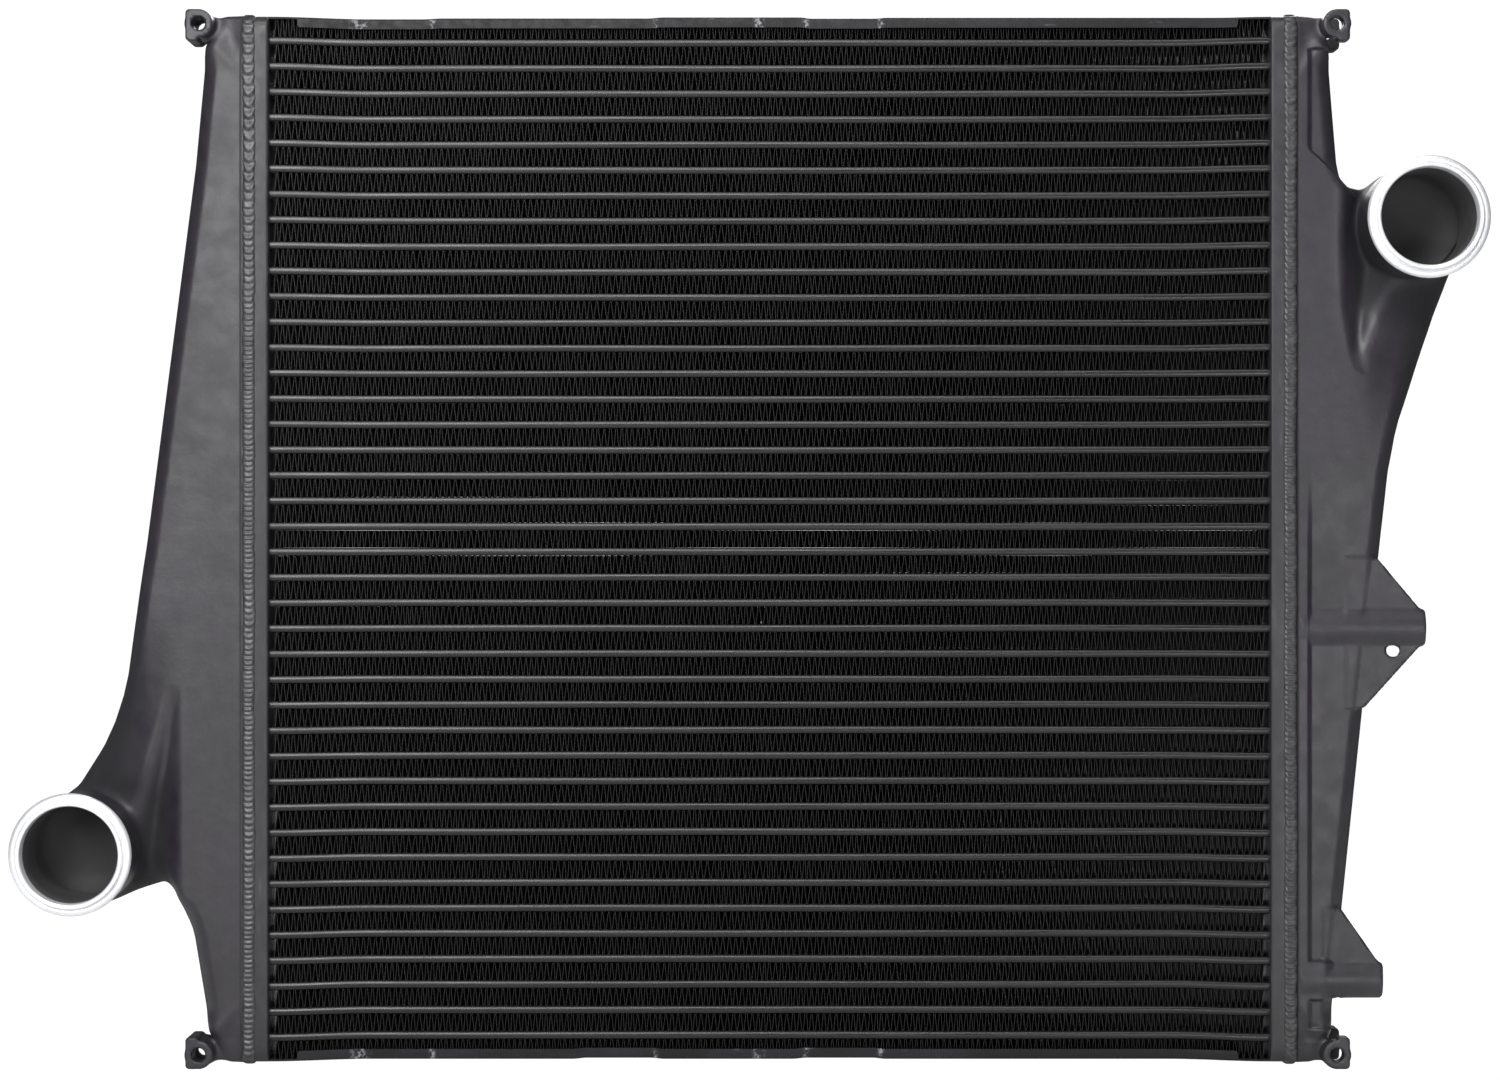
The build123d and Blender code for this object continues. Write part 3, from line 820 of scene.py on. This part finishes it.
def make_weld(name, joint_x, side, paint, rng):
    """A hand-laid bead: each pool of metal overlaps the last as a crescent."""
    place, out, way = loop(half_depth, half_height, HEADER_CORNER, 0.8)
    z = place[:, 1]
    coarse = smooth(z, 150, 420) if side < 0 else 0.25 * smooth(z, -100, 300)
    slow = np.convolve(rng.standard_normal(len(way) + 80), np.ones(81) / 9, "valid")
    pitch = POOL_PITCH + POOL_PITCH_COARSE * coarse + 0.6 * slow
    pools = np.concatenate([[0], np.cumsum(np.diff(way) / pitch[1:])])
    pools *= np.round(pools[-1]) / pools[-1]
    across = np.concatenate([np.negative(BEAD_HALF[::-1]), BEAD_HALF])
    phase = pools[:, None] - POOL_CURVE * across**2 * (1 + 0.3 * slow[:, None])
    part = phase - np.floor(phase)
    ripple = smooth(part, 0, 0.3) * (1 - 0.9 * smooth(part, 0.4, 1))
    random_pool = rng.uniform(0.45, 1.0, int(pools[-1]) + 3)
    size = random_pool[np.floor(phase).astype(int) % len(random_pool)]
    depth = POOL_DEPTH + POOL_DEPTH_COARSE * coarse[:, None]
    height = (1 - np.abs(across) ** 5) * (WELD_CROWN - depth + depth * ripple * size)
    lumps = [np.convolve(rng.standard_normal(len(way) + 8), np.ones(9) / 3, "valid") for _ in range(2)]
    swell = np.sin(2 * np.pi * pools[:, None] + 1) * (0.5 + 0.5 * coarse[:, None])
    reach = 0.94 + 0.035 * np.where(across < 0, lumps[0][:, None], lumps[1][:, None]) + 0.04 * swell
    width = WELD_WIDTH / 2 * np.clip(reach, 0.8, 1.03)
    wander = WELD_WANDER * slow[:, None]
    rings = np.empty((len(way), len(across) + 2, 3))
    rings[:, 1:-1, 0] = joint_x + across * width + wander
    rings[:, 0, 0], rings[:, -1, 0] = rings[:, 1, 0], rings[:, -2, 0]
    root = np.full((len(way), 1), -WELD_ROOT)
    levels = np.concatenate([root, height - 0.05, root], 1)
    rings[..., 1:] = place[:, None, :] + out[:, None, :] * levels[..., None]
    add_mesh(f"{name}_bead", *closed_loop(rings), paint, "weld_paint", [name], sharp=60)


# ------------ side plates
PLATE_SHEET = 1.5
PLATE_FLANGE = 9.0
PLATE_FLANGE_END = 415.6
PLATE_BEND = 2.0
PLATE_HALF = 29.55
TOP_STEPS = [(-305, -287, 0.8), (-106, -92, 0.9), (29, 39, -1.1), (93, 106, 0.8)]  # x from, to, rise
BOTTOM_STEPS = [(-172, -160, -1.0), (-104, -91, 1.0), (22, 34, -1.0), (93, 104, 1.0)]
LIGHTER_SPOTS = [(-360, 12), (-296, 4), (-99, 3), (-8, 7), (34, 4), (100, 4)]  # x, reach


def make_side_plate(name, side, steps, paint):
    """A folded channel over the outermost fins, with the small joggles of a hand-fitted strip."""
    fixed = np.concatenate([np.linspace(a - 4, b + 4, 9) for a, b, _ in steps])
    ends = PLATE_FLANGE_END + np.array((-12, -6, -2, -1.2, -0.6, -0.2, 0.0, 0.4, 4.0))
    middle = np.linspace(core_left + PULL_LENGTH, core_right - PULL_LENGTH, 24)
    near = np.concatenate([[-1.2], np.linspace(0.3, PULL_LENGTH, 12)])
    x = np.unique(np.concatenate([fixed, ends, -ends, middle, core_left + near, core_right - near]))
    base = drawn_in(x, (TUBE_COUNT / 2 * TUBE_PITCH) + (TUBE_PITCH - TUBE_HEIGHT) / 2)
    rise = sum(amount * smooth(x, a, b) for a, b, amount in steps)
    rise = 0.25 + rise * smooth(PLATE_FLANGE_END - np.abs(x), 0, 60)
    past = np.clip((np.abs(x) - PLATE_FLANGE_END + 2) / 2, 0, 1)
    drop = PLATE_BEND + (PLATE_FLANGE - PLATE_BEND) * np.sqrt(np.maximum(1 - past**2, 0))
    top = (base + rise + PLATE_SHEET)[:, None]
    turn = np.linspace(0, np.pi / 2, 5)

    def skin(edge_y, radius):
        """y and z of half a skin: the flange's edge, then round the bend."""
        y = np.append(edge_y, PLATE_HALF - PLATE_BEND + radius * np.cos(turn))
        return y, np.hstack([top - drop[:, None], top - PLATE_BEND + radius * np.sin(turn)])

    outer_y, outer_z = skin(PLATE_HALF, PLATE_BEND)
    inner_y, inner_z = skin(PLATE_HALF - PLATE_SHEET, PLATE_BEND - PLATE_SHEET)
    y = np.concatenate([-outer_y, outer_y[::-1], inner_y, -inner_y[::-1]])
    z = np.hstack([outer_z, outer_z[:, ::-1], inner_z, inner_z[:, ::-1]])
    rings = rings_at(x[:, None], y, side * z)
    add_mesh(f"{name}_channel", *bar(rings), paint, "plate_paint", [name], sharp=40)


# ------------ materials
class Shader:
    """Builds the nodes of a material or the world. Lengths are in metres, in the object's coordinates."""

    def __init__(self, owner, textured=True):
        self.owner = owner
        owner.use_nodes = True
        self.tree = owner.node_tree
        self.tree.nodes.clear()
        if textured:
            self.place = self.add("TexCoord").outputs["Object"]

    def add(self, kind, inputs=None, **settings):
        """A new node. Each input takes a value or another node's socket."""
        node = self.tree.nodes.new("ShaderNode" + kind)
        for key, value in settings.items():
            setattr(node, key, value)
        for key, value in (inputs or {}).items():
            if isinstance(value, bpy.types.NodeSocket):
                self.tree.links.new(value, node.inputs[key])
            else:
                node.inputs[key].default_value = value
        return node

    def noise(self, size, detail=3.0, rough=0.5, stretch=None):
        """Noise from 0 to 1 whose grains are about this size."""
        place = self.place
        if stretch:
            place = self.add("Mapping", {"Vector": place, "Scale": stretch}).outputs["Vector"]
        inputs = {"Vector": place, "Scale": 1 / size, "Detail": detail, "Roughness": rough}
        return self.add("TexNoise", inputs).outputs["Fac"]

    def cells(self, size):
        inputs = {"Vector": self.place, "Scale": 1 / size}
        return self.add("TexVoronoi", inputs).outputs["Distance"]

    def axis(self, name):
        return self.add("SeparateXYZ", {"Vector": self.place}).outputs[name]

    def maths(self, operation, a, b=0.0):
        return self.add("Math", {0: a, 1: b}, operation=operation).outputs[0]

    def step(self, value, low, high, to_low=0.0, to_high=1.0):
        """value taken from low..high to to_low..to_high, smoothly and no further."""
        inputs = {"Value": value, "From Min": low, "From Max": high, "To Min": to_low, "To Max": to_high}
        return self.add("MapRange", inputs, interpolation_type="SMOOTHSTEP").outputs["Result"]

    def near(self, value, middle, reach):
        """1 at the middle, falling to 0 at this reach from it."""
        away = self.maths("ABSOLUTE", self.maths("SUBTRACT", value, middle))
        return self.step(away, 0, reach, 1.0, 0.0)

    def mix(self, factor, a, b):
        """Colour a where the factor is 0, and b where it is 1."""
        return self.add("Mix", {0: factor, 6: a, 7: b}, data_type="RGBA").outputs[2]

    def over(self, colour, mask, share, other):
        """The colour, with this share of the other over it where the mask is 1."""
        return self.mix(self.maths("MULTIPLY", mask, share), colour, other)

    def bump(self, height, distance, strength=1.0, normal=None):
        inputs = {"Height": height, "Distance": distance, "Strength": strength}
        if normal:
            inputs["Normal"] = normal
        return self.add("Bump", inputs).outputs["Normal"]

    def finish(self, colour, rough, normal, metallic=0.0, specular=0.5):
        inputs = {"Base Color": colour, "Roughness": rough, "Normal": normal, "Metallic": metallic}
        inputs["Specular IOR Level"] = specular
        bsdf = self.add("BsdfPrincipled", inputs)
        self.add("OutputMaterial", {"Surface": bsdf.outputs["BSDF"]})
        return self.owner


def new_material(name):
    return Shader(bpy.data.materials.new(name))


def own_y(y):
    """A y from the core's mid-plane in mm, as the object's own y in metres."""
    return (y - LUG_FACE_Y) * METRE


def grey(value, violet=0.0):
    """A grey of this brightness, with a touch of violet."""
    return (value * (1 + 0.4 * violet), value * (1 - 0.3 * violet), value * (1 + 1.2 * violet), 1.0)


def bore_mask(s):
    """1 inside either port's bore, where the casting is left bare."""
    mask = 0.0
    for x, z in ((left_x, left_z), (right_x, right_z)):
        away = [s.maths("SUBTRACT", s.axis(name), place * METRE) for name, place in (("X", x), ("Z", z))]
        away = s.maths("SQRT", s.maths("ADD", *(s.maths("POWER", one, 2.0) for one in away)))
        bore = s.step(away, (PORT_BORE + 1) * METRE, (PORT_BORE + 2) * METRE, 1.0, 0.0)
        mask = s.maths("MAXIMUM", mask, bore)
    return mask


def cast_paint():
    """Satin black paint over a sand casting: soft mottling, fine pits, a grainy skin, with painted shade
    along the weld's toe and where the face lies back.
    """
    s = new_material("cast_paint")
    cloud = s.step(s.noise(0.11), 0.32, 0.68)
    mottle = s.step(s.noise(0.012, 4, 0.6), 0.35, 0.7)
    colour = s.mix(cloud, grey(0.020, 0.14), grey(0.026, 0.16))
    colour = s.over(colour, mottle, 0.35, grey(0.040, 0.10))
    specks = s.step(s.noise(0.0016, 2), 0.70, 0.76)
    colour = s.over(colour, specks, 0.3, grey(0.12, 0.03))
    # painted shade: a thin dark, rougher line in the crease along the weld bead's toe
    from_middle = s.maths("ABSOLUTE", s.maths("SUBTRACT", s.axis("X"), CORE_CENTRE_X * METRE))
    from_joint = s.maths("SUBTRACT", from_middle, (joint_right - CORE_CENTRE_X) * METRE)
    toe_shade = s.near(from_joint, (WELD_WIDTH / 2 + 1.2) * METRE, 0.0016)
    colour = s.over(colour, toe_shade, 0.75, grey(0.02))
    # painted shade: surfaces lying back from the front face are painted darker and made rougher
    setback_shade = s.step(s.axis("Y"), own_y(-half_depth + 4.5), own_y(-half_depth + 18))
    before_back = s.step(s.axis("Y"), own_y(NECK_BACK - 4), own_y(NECK_BACK - 2.5), 1.0, 0.0)
    inside = s.maths("MULTIPLY", bore_mask(s), before_back)
    colour = s.over(colour, setback_shade, 0.6, grey(0.012, 0.08))
    colour = s.over(colour, inside, 0.9, grey(0.10, 0.02))
    rough = s.step(s.noise(0.02, 4), 0.3, 0.7, 0.38, 0.48)
    rough = s.maths("ADD", rough, s.maths("MULTIPLY", setback_shade, 0.36))
    rough = s.maths("ADD", rough, s.maths("MULTIPLY", toe_shade, 0.4))
    grain = s.bump(s.noise(0.0011, 3, 0.6), 0.00012, 0.7)
    pits = s.bump(s.step(s.cells(0.0042), 0.0, 0.30), 0.00012, 0.25, grain)
    waves = s.bump(s.noise(0.028, 3, 0.55), 0.0009, 0.55, pits)
    return s.finish(colour, rough, waves)


def header_paint():
    """The same paint on a pressed channel, smoother, and worn along its bends."""
    s = new_material("header_paint")
    worn = s.step(s.noise(0.02, 5, 0.65, (1, 1, 0.4)), 0.45, 0.7)
    colour = s.mix(worn, grey(0.030, 0.06), grey(0.042, 0.05))
    streaks = s.step(s.noise(0.006, 3, 0.6, (1, 1, 0.15)), 0.6, 0.75)
    colour = s.over(colour, streaks, 0.3, grey(0.13, 0.02))
    rough = s.step(s.noise(0.01, 4), 0.3, 0.7, 0.34, 0.48)
    fine = s.bump(s.noise(0.0016), 0.00006, 0.6)
    waves = s.bump(s.noise(0.018, 2), 0.0005, 0.5, fine)
    return s.finish(colour, rough, waves, specular=0.4)


def weld_paint():
    """Paint pulled thin over the ripples of the bead."""
    s = new_material("weld_paint")
    thin = s.step(s.noise(0.004, 4, 0.65), 0.35, 0.7)
    colour = s.mix(thin, grey(0.026, 0.04), grey(0.060, 0.05))
    spatter = s.step(s.noise(0.0018, 2), 0.66, 0.74)
    colour = s.over(colour, spatter, 0.3, grey(0.15, 0.02))
    rough = s.step(s.noise(0.006, 4), 0.3, 0.7, 0.30, 0.46)
    fine = s.bump(s.noise(0.0012, 3, 0.6), 0.00005, 0.5)
    lumps = s.bump(s.noise(0.0055, 2, 0.5), 0.0003, 0.5, fine)
    return s.finish(colour, rough, lumps)


def plate_paint():
    """Thin paint over a folded strip, lighter in ragged spots along it."""
    s = new_material("plate_paint")
    x = s.axis("X")
    cloud = s.step(s.noise(0.03, 4, 0.6, (0.4, 1, 1)), 0.35, 0.65)
    colour = s.mix(cloud, grey(0.012, 0.08), grey(0.020, 0.08))
    # lighter ragged spots at the listed places along the strip, and light scratches
    light_marks = 0.0
    for place, reach in LIGHTER_SPOTS:
        light_marks = s.maths("MAXIMUM", light_marks, s.near(x, place * METRE, reach * METRE))
    ragged = s.step(s.noise(0.0035, 4, 0.7), 0.46, 0.6)
    light_marks = s.maths("MULTIPLY", light_marks, ragged)
    scratches = s.step(s.noise(0.004, 4, 0.7, (0.1, 1, 1)), 0.64, 0.74)
    light_marks = s.maths("MAXIMUM", light_marks, s.maths("MULTIPLY", scratches, 0.35))
    colour = s.mix(light_marks, colour, grey(0.26, 0.03))
    rough = s.step(s.noise(0.008, 4), 0.3, 0.7, 0.42, 0.6)
    fine = s.bump(s.noise(0.0014), 0.00006, 0.6)
    waves = s.bump(s.noise(0.03, 3, 0.5, (0.5, 1, 1)), 0.0006, 0.6, fine)
    return s.finish(colour, rough, waves, specular=0.22)


def tube_paint():
    """Satin dark tubes, with streaks along them and small runs of braze."""
    s = new_material("tube_paint")
    long_streaks = s.step(s.noise(0.02, 4, 0.6, (0.05, 1, 1)), 0.3, 0.7)
    colour = s.mix(long_streaks, grey(0.010, 0.05), grey(0.018, 0.05))
    runs = s.step(s.noise(0.0022, 3, 0.6, (0.35, 1, 1)), 0.66, 0.76)
    colour = s.over(colour, runs, 0.12, grey(0.1, 0.0))
    rough = s.step(s.noise(0.01, 4, 0.5, (0.2, 1, 1)), 0.3, 0.7, 0.24, 0.36)
    fine = s.bump(s.noise(0.0013), 0.00003, 0.5)
    waves = s.bump(s.noise(0.012, 2, 0.5, (0.3, 1, 1)), 0.0002, 0.5, fine)
    return s.finish(colour, rough, waves, specular=0.45)


def fin_paint():
    """Nearly black folded sheet, a little brighter on some folds, with a painted highlight along the front
    edges.
    """
    s = new_material("fin_paint")
    some = s.step(s.noise(0.004, 3, 0.6), 0.4, 0.75)
    front_y = -FIN_DEPTH / 2
    # painted highlight: a lighter band along the fins' front edges
    front = s.step(s.axis("Y"), own_y(front_y - 0.5), own_y(front_y + 2.5), 1.0, 0.0)
    colour = s.mix(some, grey(0.008), grey(0.015))
    colour = s.over(colour, front, 0.6, grey(0.034))
    rough = s.step(s.noise(0.003), 0.3, 0.7, 0.4, 0.6)
    inputs = {"Vector": s.place, "Scale": 160.0, "Distortion": 0.4}
    louvres = s.add("TexWave", inputs, bands_direction="Y")
    normal = s.bump(louvres.outputs["Fac"], 0.0002, 0.5, s.bump(s.noise(0.002, 2), 0.00008, 0.5))
    return s.finish(colour, rough, normal, specular=0.25)


def turned_aluminium(name, x, z):
    """Bare metal with the fine rings that a lathe leaves round the port's axis."""
    s = new_material(name)
    centre = s.add("VectorMath", {0: s.place, 1: (-x * METRE, 0, -z * METRE)})
    flat = s.add("VectorMath", {0: centre.outputs[0], 1: (1, 0, 1)}, operation="MULTIPLY")
    radius = s.add("VectorMath", {0: flat.outputs[0]}, operation="LENGTH").outputs["Value"]
    inputs = {"W": s.maths("MULTIPLY", radius, 5200.0), "Detail": 4.0}
    lines = s.add("TexNoise", inputs, noise_dimensions="1D")
    smudge = s.step(s.noise(0.018, 4, 0.6), 0.35, 0.7)
    colour = s.mix(s.maths("MULTIPLY", smudge, 0.5), (0.94, 0.945, 0.96, 1), (0.80, 0.81, 0.87, 1))
    nicks = s.step(s.noise(0.0022, 3, 0.6), 0.76, 0.80)
    colour = s.over(colour, nicks, 0.35, (0.5, 0.5, 0.54, 1))
    rough = s.step(s.noise(0.01, 4), 0.3, 0.7, 0.34, 0.44)
    normal = s.bump(lines.outputs["Fac"], 0.000012, 0.4, s.bump(s.noise(0.006, 2), 0.00004, 0.4))
    return s.finish(colour, rough, normal, metallic=0.5)


def folded_aluminium():
    """Dull bare sheet, for the strips inside the tubes."""
    s = new_material("folded_aluminium")
    dull = s.step(s.noise(0.01, 4, 0.6, (0.2, 1, 1)), 0.3, 0.7)
    colour = s.mix(dull, (0.5, 0.51, 0.53, 1), (0.66, 0.67, 0.69, 1))
    rough = s.step(s.noise(0.006, 4), 0.3, 0.7, 0.32, 0.5)
    return s.finish(colour, rough, s.bump(s.noise(0.002), 0.00006, 0.6), metallic=1.0)


# ------------ the object
castings = cast_paint()
make_tank("tank_left", left_field, LEFT_AXES, joint_left, (-1, 1, -1), castings)
make_tank("tank_right", right_field, RIGHT_AXES, joint_right, (1, 1, 1), castings)
make_ring("left", left_x, left_z)
make_ring("right", right_x, right_z)
make_core(fin_paint(), tube_paint(), folded_aluminium())
channels = header_paint()
make_header("header_left", core_left, -1, channels)
make_header("header_right", core_right, 1, channels)
beads = weld_paint()
rng = np.random.default_rng(SEED + 1)
make_weld("weld_left", joint_left, -1, beads, rng)
make_weld("weld_right", joint_right, 1, beads, rng)
plates = plate_paint()
make_side_plate("side_plate_top", 1, TOP_STEPS, plates)
make_side_plate("side_plate_bottom", -1, BOTTOM_STEPS, plates)


# ------------ stage, lights and camera
def background(world):
    """White to the camera and through glass, and a plain soft light to everything else."""
    s = Shader(world, textured=False)
    path = s.add("LightPath").outputs
    seen = s.maths("MAXIMUM", path["Is Camera Ray"], path["Is Transmission Ray"])
    white = s.add("Background", {"Color": (1, 1, 1, 1), "Strength": 1.05})
    soft = s.add("Background", {"Color": (0.96, 0.97, 1, 1), "Strength": 0.07})
    mix = s.add("MixShader", {0: seen, 1: soft.outputs[0], 2: white.outputs[0]})
    s.add("OutputWorld", {"Surface": mix.outputs[0]})


def floor_material():
    """Pale floor that reads as the background's white but still takes a shadow."""
    s = new_material("floor")
    tone = s.mix(s.noise(0.4), (0.86, 0.86, 0.865, 1), (0.9, 0.9, 0.9, 1))
    diffuse = s.add("BsdfDiffuse", {"Color": tone})
    glow = s.add("Emission", {"Color": (1, 1, 1, 1), "Strength": 1.16})
    seen = s.add("LightPath").outputs["Is Camera Ray"]
    share = s.maths("MULTIPLY", seen, 0.88)
    mix = s.add("MixShader", {0: share, 1: diffuse.outputs[0], 2: glow.outputs[0]})
    s.add("OutputMaterial", {"Surface": mix.outputs[0]})
    return s.owner


def area_light(name, place, target, width, height, power):
    """A soft box at this place, turned to its target. Sizes are in metres and power in watts."""
    lamp = bpy.data.lights.new(name, "AREA")
    lamp.shape = "RECTANGLE"
    lamp.size, lamp.size_y = width, height
    lamp.energy = power
    light = new_object(name, lamp)
    light.location = place
    light.rotation_euler = (Vector(target) - Vector(place)).to_track_quat("-Z", "Y").to_euler()


scene.world = bpy.data.worlds.new("studio")
background(scene.world)
floor_z = -(LUG_Z + LUG_END) * METRE
far = 6.0
floor_corners = [(x, y, floor_z) for x, y in ((-far, -far), (far, -far), (far, far), (-far, far))]
floor_mesh = bpy.data.meshes.new("floor")
floor_mesh.from_pydata(floor_corners, [], [(0, 1, 2, 3)])
floor_mesh.materials.append(floor_material())
floor = new_object("floor", floor_mesh)

area_light("key", (-0.4, -2.4, 1.6), (-0.1, 0, 0.1), 1.3, 0.8, 38)
area_light("left_box", (-1.0, -2.75, 0.78), (-0.5, 0, 0.3), 0.8, 1.4, 40)
area_light("right_box", (1.05, -2.75, -0.75), (0.5, 0, -0.25), 0.8, 1.2, 50)
area_light("top", (0.0, -0.8, 1.6), (0, 0, 0), 1.8, 0.4, 14)
area_light("back", (0.3, 1.9, 1.4), (0, 0, 0), 1.6, 1.2, 40)

camera_data = bpy.data.cameras.new("camera")
camera_data.sensor_width = 36.0
camera_data.lens = 83.59
camera = new_object("camera", camera_data)
camera.location = (-0.0156, -3.057, -0.0008)
camera.rotation_euler = (np.pi / 2, 0, 0)
scene.camera = camera
scene.render.resolution_x = 1500
scene.render.resolution_y = 1080
scene.view_settings.view_transform = "Standard"
